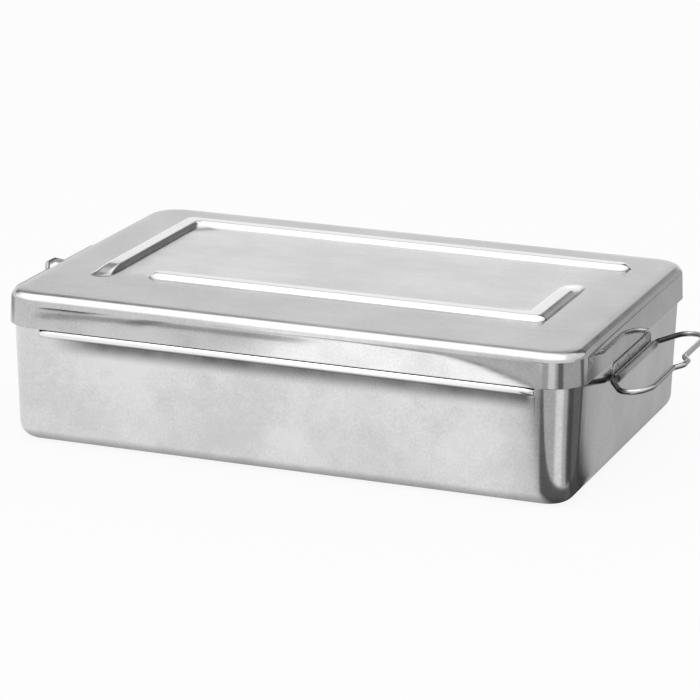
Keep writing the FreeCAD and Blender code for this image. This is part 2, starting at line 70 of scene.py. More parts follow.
def make_piece(name, patches, node, body, finish):
    """One closed mesh from patches of (points, faces), standing for a node of the frame."""
    points = np.concatenate([np.asarray(p).reshape(-1, 3) for p, _ in patches]) * MM
    starts = np.cumsum([0] + [np.asarray(p).reshape(-1, 3).shape[0] for p, _ in patches[:-1]])
    faces = np.concatenate([f + start for (_, f), start in zip(patches, starts)])
    mesh = bpy.data.meshes.new(name)
    mesh.from_pydata(points.tolist(), [], faces.tolist())
    shaped = bmesh.new()
    shaped.from_mesh(mesh)
    bmesh.ops.remove_doubles(shaped, verts=shaped.verts, dist=2e-6)
    bmesh.ops.dissolve_degenerate(shaped, edges=shaped.edges, dist=1e-7)
    volume = shaped.calc_volume(signed=True) * 1e9
    open_edges = sum(1 for edge in shaped.edges if not edge.is_manifold)
    shaped.to_mesh(mesh)
    shaped.free()
    mesh.polygons.foreach_set("use_smooth", np.ones(len(mesh.polygons), bool))
    mesh.set_sharp_from_angle(angle=math.radians(50))
    mesh.materials.append(finish)
    piece = bpy.data.objects.new(name, mesh)
    bpy.context.scene.collection.objects.link(piece)
    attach(piece, body)
    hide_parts(node)
    print("%s: %d faces, %.0f mm3, %d open edges" % (name, len(mesh.polygons), volume, open_edges))


def spaced(start, stop, step, zones=(), fine=0.5):
    """Positions from start to stop: one in every step, and closer, one in every fine, inside the zones."""
    marks = np.clip([start, stop] + [edge for zone in zones for edge in zone], start, stop)
    marks = np.unique(np.round(marks, 6))
    runs = []
    for low, high in zip(marks, marks[1:]):
        middle = (low + high) / 2
        pitch = fine if any(a <= middle <= b for a, b in zones) else step
        runs.append(np.linspace(low, high, max(1, round((high - low) / pitch)), endpoint=False))
    return np.append(np.concatenate(runs), stop)


# %% [markdown]
# ## A profile carried round a rounded rectangle
# The pan and the lid share one idea. The outline's corners turn about four centres. Each point of the
# outline is a core point, on the rectangle through those centres, plus the corner radius times the outward
# direction there. Growing the outline by d only adds d to that radius, so a whole drawn shell is its
# section, pairs of outward reach d and height z, carried round the core. At d = -radius a corner closes
# to one point, which is where the flat panel takes over.

# %% The outline and its shells


def outline(half_x, half_y, radius, along_x, along_y, around=26):
    """Core points and outward directions, anticlockwise from the near left. Corners are quarter turns."""
    core_x = half_x - radius
    core_y = half_y - radius
    quarter = np.linspace(0, math.pi / 2, around + 1)
    runs = []
    sides = [
        (along_x[1:-1], lambda t: (t, np.full_like(t, -core_y)), -math.pi / 2, (core_x, -core_y)),
        (along_y[1:-1], lambda t: (np.full_like(t, core_x), t), 0.0, (core_x, core_y)),
        (along_x[-2:0:-1], lambda t: (t, np.full_like(t, core_y)), math.pi / 2, (-core_x, core_y)),
        (along_y[-2:0:-1], lambda t: (np.full_like(t, -core_x), t), math.pi, (-core_x, -core_y)),
    ]
    for positions, place, facing, corner in sides:
        x, y = place(positions)
        runs.append(np.stack([x, y, np.full_like(x, facing)], axis=-1))
        turn = facing + quarter
        runs.append(np.stack([np.full_like(turn, corner[0]), np.full_like(turn, corner[1]), turn], axis=-1))
    loop = np.concatenate(runs)
    return loop[:, :2], np.stack([np.cos(loop[:, 2]), np.sin(loop[:, 2])], axis=-1)


def carried(core, outward, radius, reach, height):
    """Points core + (radius + reach) * outward at the given heights. Rows go along the section."""
    reach, height = np.broadcast_arrays(reach, height)
    flat = core[None, :, :] + (radius + reach)[:, :, None] * outward[None, :, :]
    return np.concatenate([flat, height[:, :, None]], axis=-1)


def all_round(pairs, core):
    """Rows (reach, height) of a section that are the same all the way round an outline."""
    pairs = np.asarray(pairs, float)
    ones = np.ones(len(core))
    return pairs[:, 0][:, None] * ones, pairs[:, 1][:, None] * ones


def quarter_round(centre, radius, start, stop, steps):
    """Points (reach, height) on an arc about a centre, between two angles in degrees."""
    turn = np.radians(np.linspace(start, stop, steps + 1))
    return np.stack([centre[0] + radius * np.cos(turn), centre[1] + radius * np.sin(turn)], axis=-1)


def panel(along_x, along_y, height, upwards):
    """The flat part inside the core rectangle, with its own height at each point."""
    x, y = np.meshgrid(along_x, along_y)
    faces = grid_faces(*x.shape)
    return np.stack([x, y, height(x, y)], axis=-1), faces if upwards else faces[:, ::-1]


# %% [markdown]
# ## The measures
# They are those of the solids, in millimetres. Only the lid's lower edge is a fifth of a millimetre nearer
# to the bead that it stands on. The origin is the middle of the pan's underside.

# %% Measures
LID_HALF = np.array([151.7, 100.7])
LID_CORNER = 18.0
LID_TOP = 78.0
LID_EDGE = 60.78
LID_GAUGE = 0.8
LID_ROUND = 4.5
FLARE = 0.8
PAN_HALF = np.array([148.0, 97.0])
PAN_CORNER = 14.3
PAN_RIM = 73.4
PAN_GAUGE = 1.0
PAN_ROUND = 8.5
PAN_DRAFT = 2.4
BEAD_FACE = 102.1
BEAD_LEVEL = 58.5
BEAD_RISE = 2.2
BEAD_HALF = 130.7
BEAD_END = 7.0
HINGE = np.array([151.92, 49.6])
WIRE_RADIUS = 1.4
print("closed box %.1f x %.1f x %.1f mm" % (*(2 * (LID_HALF + FLARE)), LID_TOP))

# %% [markdown]
# ## The shader kit
# Polished steel is nearly all reflection: its look comes from what it mirrors, from how far its haze
# spreads that, and from faint waves and scratches left by the press and the polishing wheel. Patterns of
# that kind are sums and products of noises, which read best as plain formulas. So a small class wraps a
# socket, and Python's operators on it add Math nodes.

# %% The shader kit


class Value:
    """One number of a node tree. An operator on it adds a Math node."""

    def __init__(self, kit, socket):
        self.kit = kit
        self.socket = socket

    def math(self, operation, *others):
        values = {0: self, **dict(enumerate(others, 1))}
        return self.kit.node("ShaderNodeMath", {"operation": operation}, values)

    def __add__(self, other):
        return self.math("ADD", other)

    def __sub__(self, other):
        return self.math("SUBTRACT", other)

    def __rsub__(self, other):
        return (self * -1) + other

    def __mul__(self, other):
        return self.math("MULTIPLY", other)

    def __pow__(self, other):
        return self.math("POWER", other)

    __radd__ = __add__
    __rmul__ = __mul__

    def smooth(self, low, high):
        """0 below low, 1 above high, and a smooth step between."""
        settings = {"interpolation_type": "SMOOTHSTEP"}
        values = {"Value": self, "From Min": low, "From Max": high}
        return self.kit.node("ShaderNodeMapRange", settings, values)

    def size(self):
        """The number without its sign."""
        return self.math("ABSOLUTE")


class Kit:
    """A node tree that is filled one node at a time."""

    def __init__(self, owner):
        owner.use_nodes = True
        self.tree = owner.node_tree
        self.tree.nodes.clear()

    def node(self, kind, settings=None, values=None, out=0):
        """Adds a node, makes its settings, then gives its sockets numbers or links. Returns one output."""
        made = self.tree.nodes.new(kind)
        for key, value in (settings or {}).items():
            setattr(made, key, value)
        for key, value in (values or {}).items():
            if isinstance(value, Value):
                self.tree.links.new(value.socket, made.inputs[key])
            else:
                made.inputs[key].default_value = value
        return Value(self, made.outputs[out]) if len(made.outputs) else None

    def place(self, scale=(1, 1, 1)):
        """The point on the piece, in metres, stretched by scale."""
        here = self.node("ShaderNodeTexCoord", out="Object")
        return self.node("ShaderNodeMapping", {}, {"Vector": here, "Scale": scale})

    def place_parts(self):
        """The same point's x, y and z, as three numbers."""
        here = self.node("ShaderNodeTexCoord", out="Object")
        return self.parts(here)

    def parts(self, vector):
        """The three numbers of a vector."""
        made = self.node("ShaderNodeSeparateXYZ", {}, {0: vector}).socket.node
        return tuple(Value(self, socket) for socket in made.outputs)

    def rays(self):
        """1 for a ray from the camera, one from a mirror and one through glass, as three numbers."""
        made = self.node("ShaderNodeLightPath").socket.node
        names = ("Is Camera Ray", "Is Glossy Ray", "Is Transmission Ray")
        return tuple(Value(self, made.outputs[name]) for name in names)

    def noise(self, scale, detail=3.0, roughness=0.55, stretch=(1, 1, 1)):
        """Cloudy noise between 0 and 1. A scale of 20 gives patches about 50 mm across."""
        values = {"Vector": self.place(stretch), "Scale": scale, "Detail": detail, "Roughness": roughness}
        return self.node("ShaderNodeTexNoise", {}, values)

    def mix(self, factor, first, second, mode="MIX"):
        """A colour from two. MIX goes from one to the other, MULTIPLY takes their product."""
        settings = {"data_type": "RGBA", "blend_type": mode}
        return self.node("ShaderNodeMix", settings, {0: factor, 6: first, 7: second}, out=2)


def grey(level):
    """A colour without hue."""
    return (level, level, level, 1)


def span(value, start, stop, soft):
    """1 between start and stop, with soft edges."""
    return value.smooth(start - soft, start + soft) * (1 - value.smooth(stop - soft, stop + soft))


# %% [markdown]
# ## The steel
# The sheet is polished but not optical: the photograph shows cloudy patches a few centimetres wide, fine
# lines in one direction, and soft waves in whatever the walls mirror. The patches change the base colour
# and the roughness a little. The waves and lines are a bump of a few hundredths of a millimetre, too little
# for the mesh and enough to bend a reflection. Places can differ: painted shade darkens the base colour
# where shade falls, a painted highlight brightens it so that highlights stay white, and the lid's skirt is a
# sharper mirror than its top.

# %% One recipe for every steel finish


def steel(name, level, haze, line_stretch, wave=0.10, painted_shade=None, places=None, painted_highlight=None):
    """Polished steel. level is its reflectance, haze its roughness, line_stretch the way of its lines."""
    material = bpy.data.materials.new(name)
    kit = Kit(material)
    clouds = kit.noise(17, 5, 0.6)
    patches = kit.noise(48, 4, 0.6)
    lines = kit.noise(1, 2, 0.5, line_stretch)
    waves = kit.noise(11, 1, 0.4)
    grain = kit.noise(820, 2, 0.6)
    mottle = (clouds * 0.43 + patches * 0.32 + grain * 0.25).smooth(0.36, 0.64)
    tone = kit.mix(mottle, grey(level * 0.86), grey(level * 1.09))
    roughness = haze + (patches - 0.5) * haze * 0.9 + (lines - 0.5) * haze * 0.5
    height = waves * (wave * MM) + lines * (0.004 * MM) + grain * (0.0006 * MM) + patches * (0.012 * MM)
    # painted shade: the masked places take a dark base colour, a tenth of the level
    if painted_shade:
        tone = kit.mix(painted_shade(kit, patches), tone, grey(level * 0.10))
    if places:
        buffed, sharp = places(kit, clouds)
        tone = kit.mix(buffed, kit.mix(1.0, tone, grey(0.79), "MULTIPLY"), tone)
        roughness = roughness * (1 - sharp * 0.80)
        height = height * (1 - sharp * 0.75)
    # painted highlight: the masked places take a brighter base colour of 0.90
    if painted_highlight:
        tone = kit.mix(painted_highlight(kit), tone, grey(0.90))
    bump = kit.node("ShaderNodeBump", {}, {"Strength": 1.0, "Distance": 1.0, "Height": height})
    shader = kit.node("ShaderNodeBsdfPrincipled", {}, {
        "Base Color": tone, "Metallic": 1.0, "Roughness": roughness, "Normal": bump})
    kit.node("ShaderNodeOutputMaterial", {}, {"Surface": shader})
    print("%s: %d nodes" % (name, len(kit.tree.nodes)))
    return material


# %% [markdown]
# ## Where the finish and the painted light differ
# Each place is a mask over the point on the piece, in metres: painted shade below the beads, the buffed
# panel between the ribs, painted highlights on the ribs, the edge and the beads' noses, and painted shade
# at the ends of the curl and where the wire's arms leave the knuckle.

# %% Places on the pan and the lid


def shade_under_bead(kit, patches):
    """Painted shade below the stop beads, where the bead shades the wall: a band that fades down the long
    walls.
    """
    x, y, z = kit.place_parts()
    band = z.smooth(0.0470, 0.0556) * (1 - z.smooth(0.0572, 0.0582))
    beside_bead = (1 - x.smooth(0.126, 0.1315)) * x.smooth(-0.131, -0.096)
    return band * beside_bead * y.size().smooth(0.0970, 0.0985) * (0.50 + patches * 0.60)


def between_ribs(kit, clouds):
    """1 inside the ribs, where the panel was buffed brighter, and 1 on the sharp mirror of the skirt."""
    x, y, z = kit.place_parts()
    wobble = (clouds - 0.5) * 0.05
    inside = (x + wobble).smooth(-0.122, -0.098) * (1 - (x + wobble).smooth(0.100, 0.128))
    inside = inside * (y + wobble).smooth(-0.050, -0.036) * (1 - (y + wobble).smooth(0.060, 0.078))
    return inside, 1 - z.smooth(0.0755, 0.0775) + z.smooth(0.07805, 0.0786) * 0.25


def highlight_on_ribs_and_edge(kit):
    """The raised ribs and the rounded edge, where a brighter base colour is a painted highlight."""
    _, y, z = kit.place_parts()
    on_long_edge = span(z, 0.0755, 0.0777, 0.0005) * y.size().smooth(0.0950, 0.0975)
    return z.smooth(0.0782, 0.0792) + on_long_edge


def highlight_on_bead(kit):
    """The nose of the stop bead, where a brighter base colour is a painted highlight."""
    _, y, z = kit.place_parts()
    return y.size().smooth(0.1000, 0.1010) * span(z, 0.0580, 0.0612, 0.0006)


# %% [markdown]
# Where wire and strip meet at the knuckle they shade each other, so both get painted shade: their base colour
# is dark there.

# %% Places on the strips and the bails


def shade_at_curl_ends(kit, patches):
    """Painted shade on a strip's curl near its two ends, where the bail meets it and shades it."""
    _, y, z = kit.place_parts()
    on_curl = 1 - z.smooth(0.0508, 0.0520)
    return on_curl * y.size().smooth(0.019, 0.031) * (0.55 + patches * 0.5)


def shade_at_knuckle(kit, patches):
    """Painted shade where a bail's arms leave the knuckle: the wire's base colour is dark there."""
    x, y, _ = kit.place_parts()
    reach = (x.size() - HINGE[0] * MM).size()
    return (1 - reach.smooth(0.008, 0.016)) * y.size().smooth(0.030, 0.036) * (0.75 + patches * 0.5)


# %% [markdown]
# The stretch of the lines is a scale for each axis, and they run along the axis with the smallest number.

# %% The four finishes
ALONG_X = (14, 900, 900)
# The masks passed here paint shade under the beads and at the knuckle, and highlights on the bead noses, ribs
# and edge.
sheet_steel = steel("polished_sheet", 0.70, 0.135, ALONG_X, painted_shade=shade_under_bead, painted_highlight=highlight_on_bead)
lid_steel = steel("polished_lid_sheet", 0.73, 0.21, ALONG_X, 0.16, places=between_ribs, painted_highlight=highlight_on_ribs_and_edge)
strip_steel = steel("polished_strip", 0.60, 0.24, (700, 40, 700), 0.02, painted_shade=shade_at_curl_ends)
wire_steel = steel("drawn_wire", 0.60, 0.20, (300, 300, 300), 0.0, painted_shade=shade_at_knuckle)

# %% [markdown]
# ## The pan
# A pan like this is drawn in one stroke: flat bottom, a round of 8.5 mm, walls that lean out so that pans
# nest, and plan corners that grow with the wall. Its section is carried round the outline, out along the
# bottom, up the outside, over the rim, down the inside and in along the floor. Only the long walls have the
# stop bead on which the lid stands. It is the same section with a bulge, blended in along the wall, and its
# round ends come from the blend's quarter ellipse.

# %% The wall and its bead
lean = PAN_DRAFT / PAN_RIM


def wall_reach(z):
    """How far the outer face of the wall stands out at a height, from the outline at the foot."""
    return lean * z


def bead_path(face, low, high, round_out, cove_low, cove_high, steps=8):
    """The bulge from the wall: a cove, two rounds that make the nose, and a cove back to the wall."""
    at_low = wall_reach(low)
    at_high = wall_reach(high)
    return np.concatenate([
        quarter_round((at_low + cove_low, low - cove_low), cove_low, 180, 90, steps),
        quarter_round((face - round_out, low + round_out), round_out, -90, 0, steps),
        quarter_round((face - round_out, high - round_out), round_out, 0, 90, steps),
        quarter_round((at_high + cove_high, high + cove_high), cove_high, 270, 180, steps),
    ])


def walls_with_bead(path, offset, share):
    """Rows up a wall, from a plain straight wall (share 0) to the bead's path (share 1)."""
    z_plain = np.linspace(path[0, 1], path[-1, 1], len(path))
    plain = np.stack([wall_reach(z_plain) - offset, z_plain], axis=-1)
    bent = plain[:, None, :] + share[None, :, None] * (path - plain)[:, None, :]
    return bent[:, :, 0], bent[:, :, 1]


# %% [markdown]
# The bead's end is the steepest place of the wall, so the columns crowd there like the steps of a sine.

# %% Pan outline
pan_flat = PAN_HALF - PAN_CORNER
pan_x = spaced(-pan_flat[0], pan_flat[0], 9, [(-133.7, -123), (123, 133.7)], 0.55)
pan_y = spaced(-pan_flat[1], pan_flat[1], 9)
nose = BEAD_HALF - BEAD_END + BEAD_END * np.sin(np.linspace(0, math.pi / 2, 19))
away_from_nose = pan_x[np.abs(np.abs(pan_x) - (BEAD_HALF - BEAD_END / 2)) > BEAD_END / 2 + 0.1]
pan_x = np.unique(np.round(np.concatenate([away_from_nose, nose, -nose]), 5))
pan_core, pan_out = outline(*PAN_HALF, PAN_CORNER, pan_x, pan_y)
from_end = np.clip((np.abs(pan_core[:, 0]) - (BEAD_HALF - BEAD_END)) / BEAD_END, 0, 1)
bead_share = np.where(np.abs(pan_out[:, 1]) > 0.999, np.sqrt(1 - from_end ** 2), 0.0)
print("pan outline: %d points, %d of them on the beads" % (len(pan_core), (bead_share > 0).sum()))

# %% [markdown]
# The rows start under the bottom. Those of the inside are the outer ones moved in by the sheet's gauge, and
# so is the bead, whose hollow shows inside the pan.

# %% Pan rows
bead_outer = BEAD_FACE - PAN_HALF[1]
low, high = BEAD_LEVEL - BEAD_RISE, BEAD_LEVEL + BEAD_RISE
outer_path = bead_path(bead_outer, low, high, 2.1, 1.1, 0.5)
inner_path = bead_path(bead_outer - PAN_GAUGE, low + PAN_GAUGE, high - PAN_GAUGE, 1.1, 0.6, 0.5)
inner_path[:9, 0] -= PAN_GAUGE
inner_path[-9:, 0] -= PAN_GAUGE
tilt = math.degrees(math.atan(lean))
foot = wall_reach(PAN_ROUND) + PAN_ROUND * (1 / math.cos(math.radians(tilt)) - 1) - PAN_ROUND
inner_round = PAN_ROUND - PAN_GAUGE
underside = np.stack([np.array([-PAN_CORNER, -12.0, -10.0]), np.zeros(3)], axis=-1)
foot_round = quarter_round((foot, PAN_ROUND), PAN_ROUND, -90, -tilt, 16)
outer_low = [(wall_reach(z), z) for z in (14, 22, 32, 42, 50)]
outer_high = [(wall_reach(z), z) for z in (64, 68, PAN_RIM - 0.3)]
rim = [(wall_reach(PAN_RIM) - 0.12, PAN_RIM - 0.05), (wall_reach(PAN_RIM) - 0.35, PAN_RIM),
       (wall_reach(PAN_RIM) - 0.65, PAN_RIM), (wall_reach(PAN_RIM) - 0.9, PAN_RIM - 0.08)]
inner_high = [(wall_reach(z) - PAN_GAUGE, z) for z in (PAN_RIM - 0.35, 68, 64)]
inner_low = [(wall_reach(z) - PAN_GAUGE, z) for z in (50, 42, 32, 22, 14)]
inside_round = quarter_round((foot, PAN_ROUND), inner_round, -tilt, -90, 14)
floor_run = np.stack([np.array([-10.0, -12.0, -PAN_CORNER]), np.full(3, PAN_GAUGE)], axis=-1)
print("wall leans %.2f degrees, bead face at %.1f mm" % (tilt, BEAD_FACE))

# %% [markdown]
# The rows make one array, and two flat panels close the bottom inside the core.

# %% Pan mesh
same = [all_round(pairs, pan_core) for pairs in (
    underside, foot_round, outer_low, outer_high, rim, inner_high, inner_low, inside_round, floor_run)]
rows = [*same[:3], walls_with_bead(outer_path, 0, bead_share), *same[3:6],
        walls_with_bead(inner_path[::-1], PAN_GAUGE, bead_share), *same[6:]]
pan_reach = np.concatenate([reach for reach, _ in rows])
pan_height = np.concatenate([height for _, height in rows])
pan_wall = carried(pan_core, pan_out, PAN_CORNER, pan_reach, pan_height)
pan_patches = [
    (pan_wall, grid_faces(*pan_wall.shape[:2], wrap_columns=True)),
    panel(pan_x, pan_y, lambda x, y: np.zeros_like(x), upwards=False),
    panel(pan_x, pan_y, lambda x, y: np.full_like(x, PAN_GAUGE), upwards=True),
]
make_piece("drawn_pan", pan_patches, "base_pan", "pan", sheet_steel)

# %% [markdown]
# ## The lid
# The lid's panel carries two L ribs, pressed up from below so that it doesn't drum. The panel is a height
# field: each point's height depends only on its distance from the ribs' centre lines. A distance makes the
# ends and the outer corner round without more work, and a smooth minimum of the two legs rounds the inner
# corner as the sheet would. The rib's section is a crest, a flank and a foot with rounds between, and the
# underside is that section moved in by the sheet's thickness.

# %% Rib section
RIB_HALF = 6.3
RIB_HEIGHT = 2.6
SLOPE = math.radians(48)


def rib_section(crest_round=3.6, foot_round=1.3, samples=24):
    """Distance from the centre line and height, from the crest to past the foot, with unit normals."""
    reach = RIB_HEIGHT / math.tan(SLOPE)
    crest_cut = crest_round * math.tan(SLOPE / 2)
    foot_cut = foot_round * math.tan(SLOPE / 2)
    crest = RIB_HALF - reach
    turn = np.linspace(0, SLOPE, samples)
    over = np.stack([crest - crest_cut + crest_round * np.sin(turn),
                     RIB_HEIGHT - crest_round + crest_round * np.cos(turn)], axis=-1)
    under = np.stack([RIB_HALF + foot_cut - foot_round * np.sin(turn[::-1]),
                      foot_round - foot_round * np.cos(turn[::-1])], axis=-1)
    points = np.concatenate([[(0, RIB_HEIGHT)], over, under, [(60, 0)]])
    lean_there = np.concatenate([[0], turn, turn[::-1], [0]])
    return points, np.stack([np.sin(lean_there), np.cos(lean_there)], axis=-1)


section, section_normal = rib_section()
under_section = section - LID_GAUGE * section_normal
under_section[0] = (0, RIB_HEIGHT - LID_GAUGE)
print("rib section from %.2f to %.2f mm" % (section[1, 0], section[-2, 0]))

# %% [markdown]
# Each L is a corner and two legs, the long one first. Its short leg fades at the free end.

# %% Rib places
FAR_L = ((-118.7, 69.7), (240.4, 0), (0, -117.9))
NEAR_L = ((111.7, -41.7), (-200.4, 0), (0, 63.9))


def distance_to_leg(x, y, corner, leg):
    """Distance to a straight leg, and how far along it the nearest point is."""
    length = math.hypot(*leg)
    way = np.array(leg) / length
    along = (x - corner[0]) * way[0] + (y - corner[1]) * way[1]
    nearest = np.clip(along, 0, length)
    return np.hypot(x - corner[0] - nearest * way[0], y - corner[1] - nearest * way[1]), along


def rib_distance(x, y, rib, rounding=7.0):
    """The smaller of the distances to both legs. Inside the corner the two melt into each other."""
    corner, first, second = rib
    a, along_a = distance_to_leg(x, y, corner, first)
    b, along_b = distance_to_leg(x, y, corner, second)
    melt = rounding * np.clip(np.minimum(along_a, along_b) / 6, 0, 1) + 1e-6
    near = np.clip(melt - np.abs(a - b), 0, None) / melt
    return np.minimum(a, b) - near ** 2 * melt / 4


FADE_START, FADE, BESIDE = 16, 26, 12
print("legs", [round(math.hypot(*leg), 1) for leg in (*FAR_L[1:], *NEAR_L[1:])], "mm")


def still_high(x, y, rib):
    """1 along a rib, falling to 0 over FADE from FADE_START before the end of its second, short leg."""
    corner, _, second = rib
    length = math.hypot(*second)
    away, along = distance_to_leg(x, y, corner, second)
    past = np.clip((along - (length - FADE_START)) / FADE, 0, 1)
    return np.where(away < BESIDE, 1 - past ** 2 * (3 - 2 * past), 1.0)


def panel_height(x, y, curve):
    """Height above the panel: the section at the distance from the ribs, faded at the short legs' ends."""
    flat = curve[-1, 1]
    distance = np.minimum(rib_distance(x, y, FAR_L), rib_distance(x, y, NEAR_L))
    rise = np.interp(distance, curve[:, 0], curve[:, 1]) - flat
    return flat + rise * still_high(x, y, FAR_L) * still_high(x, y, NEAR_L)


# %% [markdown]
# Outside the ribs the panel bends over a shoulder and a round of 4.5 mm into the skirt, which flares by
# 0.8 mm down to its edge.

# %% Lid section
lid_core = LID_HALF - LID_CORNER
lid_x = spaced(-lid_core[0], lid_core[0], 7, [(-125.8, -111.6), (-95.8, -87.5), (104.6, 128.8)])
lid_y = spaced(-lid_core[1], lid_core[1], 7, [(-55.3, -34.6), (-5, 29.3), (62.6, 76.8)], 0.55)
lid_points, lid_out = outline(*LID_HALF, LID_CORNER, lid_x, lid_y)
flare_angle = math.degrees(math.atan(FLARE / (LID_TOP - LID_EDGE)))


def skirt_reach(z):
    """The skirt leans out by the flare over its depth."""
    return FLARE * (LID_TOP - z) / (LID_TOP - LID_EDGE)


def shoulder_drop(reach):
    """The panel curves down by a quarter of a millimetre just before the edge's round."""
    return SHOULDER_DROP * np.clip((reach + 8.5) / 4.5, 0, None) ** 2


SHOULDER = 84
SHOULDER_DROP = 0.25
round_centre = (skirt_reach(LID_TOP - LID_ROUND) - LID_ROUND / math.cos(math.radians(flare_angle)),
                LID_TOP - SHOULDER_DROP - LID_ROUND * math.sin(math.radians(SHOULDER)))
strip_levels = np.array([-LID_CORNER, -15.0, -12.0, -8.5, -7.7, -6.9, -6.1, -5.3, -4.6])
skirt = np.array([(skirt_reach(z), z) for z in (72, 69, 66, 63, LID_EDGE + 0.35)])
lower_edge = quarter_round((skirt_reach(LID_EDGE) - LID_GAUGE / 2, LID_EDGE + LID_GAUGE / 2),
                           LID_GAUGE / 2, 0, -180, 8)
skirt_inner = np.array([(skirt_reach(z) - LID_GAUGE, z) for z in (LID_EDGE + 0.5, 63, 66, 69, 72)])
edge_round = quarter_round(round_centre, LID_ROUND, flare_angle, SHOULDER, 14)
cove = quarter_round(round_centre, LID_ROUND - LID_GAUGE, SHOULDER, flare_angle, 10)
print("skirt flares %.2f degrees" % flare_angle)

# %% [markdown]
# The strip between the core and the round is still ribbed panel, so its height comes from the same field.

# %% Lid mesh


def top_rows(reach, curve):
    """Rows of the panel outside the core, at rows of reach: the ribbed height less the shoulder's drop."""
    points = carried(lid_points, lid_out, LID_CORNER, reach, np.zeros_like(reach))
    points[:, :, 2] = LID_TOP + panel_height(points[:, :, 0], points[:, :, 1], curve) - shoulder_drop(reach)
    return points


top_reach = strip_levels[:, None] * np.ones(len(lid_points))
under = top_rows(top_reach, under_section)
over = top_rows(top_reach[::-1], section)
side_reach, side_height = all_round(np.concatenate([
    cove, skirt_inner[::-1], lower_edge[::-1], skirt[::-1], edge_round]), lid_points)
side = carried(lid_points, lid_out, LID_CORNER, side_reach, side_height)
lid_wall = np.concatenate([under, side, over])
lid_patches = [
    (lid_wall, grid_faces(*lid_wall.shape[:2], wrap_columns=True)),
    panel(lid_x, lid_y, lambda x, y: LID_TOP + panel_height(x, y, under_section), upwards=False),
    panel(lid_x, lid_y, lambda x, y: LID_TOP + panel_height(x, y, section), upwards=True),
]
make_piece("ribbed_lid", lid_patches, "lid", "lid", lid_steel)

# %% [markdown]
# ## The hinge strips
# A strip is a flat of thin sheet, spot-welded to the end wall, whose lower edge is curled round the bail's
# wire. Its section is one line, down the flat and round the curl, given a thickness with round edges. That
# closed section runs along Y. Towards the ends the flat gets lower, which rounds its upper corners, and each
# weld leaves a shallow dimple.

# %% Hinge strips
STRIP_HALF = 33.0
STRIP_TOP = 7.4
CURL = 1.88
HALF_GAUGE = 0.4
LIP = 115.45
WELDS = (-27.0, -9.0, 9.0, 27.0)
WELD_LEVEL = 4.84


def strip_section():
    """The strip's closed section about the hinge axis, anticlockwise: back, curl, lip, front, crown."""
    flat = np.linspace(STRIP_TOP - HALF_GAUGE, 0, 26)[:-1]
    turn = np.radians(np.linspace(180, 360 + LIP, 44))
    lip_turn = np.radians(np.linspace(LIP, LIP + 180, 8))[1:-1]
    lip_middle = CURL * np.array([math.cos(math.radians(LIP)), math.sin(math.radians(LIP))])
    crown_turn = np.radians(np.linspace(0, 180, 8))[1:-1]
    back = np.stack([np.full_like(flat, -CURL - HALF_GAUGE), flat], axis=-1)
    outer = (CURL + HALF_GAUGE) * np.stack([np.cos(turn), np.sin(turn)], axis=-1)
    lip = lip_middle + HALF_GAUGE * np.stack([np.cos(lip_turn), np.sin(lip_turn)], axis=-1)
    inner = (CURL - HALF_GAUGE) * np.stack([np.cos(turn[::-1]), np.sin(turn[::-1])], axis=-1)
    front = np.stack([np.full_like(flat, -CURL + HALF_GAUGE), flat[::-1]], axis=-1)
    crown = np.array([-CURL, STRIP_TOP - HALF_GAUGE]) + HALF_GAUGE * np.stack(
        [np.cos(crown_turn), np.sin(crown_turn)], axis=-1)
    return np.concatenate([back, outer, lip, inner, front, crown])


def strip_points(side):
    """The section at each place along Y, with lowered corners and dimples, leaning with the end wall."""
    outline_2d = strip_section()
    zones = [(w - 2.2, w + 2.2) for w in WELDS] + [(-STRIP_HALF, -29.9), (29.9, STRIP_HALF)]
    y = spaced(-STRIP_HALF, STRIP_HALF, 3, zones, 0.3)[:, None]
    x = np.broadcast_to(outline_2d[:, 0], (y.size, len(outline_2d))).copy()
    z = np.broadcast_to(outline_2d[:, 1], x.shape).copy()
    past = np.clip(np.abs(y) - (STRIP_HALF - 3), 0, 3)
    top = STRIP_TOP - (3 - np.sqrt(9 - past ** 2))
    base = 0.9 * CURL + 0.5
    z = np.where(z > base, base + (z - base) * (top - base) / (STRIP_TOP - base), z)
    from_weld = np.min([np.hypot(y - w, z - WELD_LEVEL) for w in WELDS], axis=0)
    dent = np.clip(1 - (from_weld / 2.0) ** 2, 0, 1) ** 1.5 * 0.22
    on_front = (np.abs(x + CURL - HALF_GAUGE) < 0.01) & (z > 0.5)
    x = x - np.where(on_front, dent, 0)
    angle = math.atan(lean)
    world_x = side * (HINGE[0] + x * math.cos(angle) + z * math.sin(angle))
    world_z = HINGE[1] - x * math.sin(angle) + z * math.cos(angle)
    return np.stack([world_x, np.broadcast_to(y, x.shape), world_z], axis=-1)


def strip_patches(side):
    """The strip's skin and its two flat ends. An end pairs the section's points across the sheet."""
    points = strip_points(side)
    rows, columns = points.shape[:2]
    start = columns - 3
    along = np.arange(start, start + columns // 2)
    across = start - 1 - np.arange(columns // 2)
    near_end = np.stack([along[:-1], along[1:], across[1:], across[:-1]], axis=-1) % columns
    far_end = near_end[:, ::-1] + (rows - 1) * columns
    skin = grid_faces(rows, columns, wrap_columns=True)[:, ::-1]
    faces = np.concatenate([skin, near_end, far_end])
    return [(points, faces if side > 0 else faces[:, ::-1])]


make_piece("right_curled_strip", strip_patches(1), "right_hinge_bracket", "pan", strip_steel)
make_piece("left_curled_strip", strip_patches(-1), "left_hinge_bracket", "pan", strip_steel)

# %% [markdown]
# ## The bails
# A bail is one length of drawn wire, bent cold on a jig: straight runs joined by arcs, with a small bump in
# the grip for the thumb. Its own straight run through the curl is the hinge pin, and the wire's two ends
# meet there. The line lies in a plane, so a tube round it needs only that plane's normal and the line's
# direction, and it doesn't twist.

# %% Bail line
# Corners of half the loop: out from the hinge, along it, and the bend's radius there.
HALF_LOOP = [(0, 39.0, 3.5), (12.8, 64.0, 7.0), (22.4, 48.0, 17.0), (22.4, 10.4, 6.0), (26.2, 4.4, 5.0)]


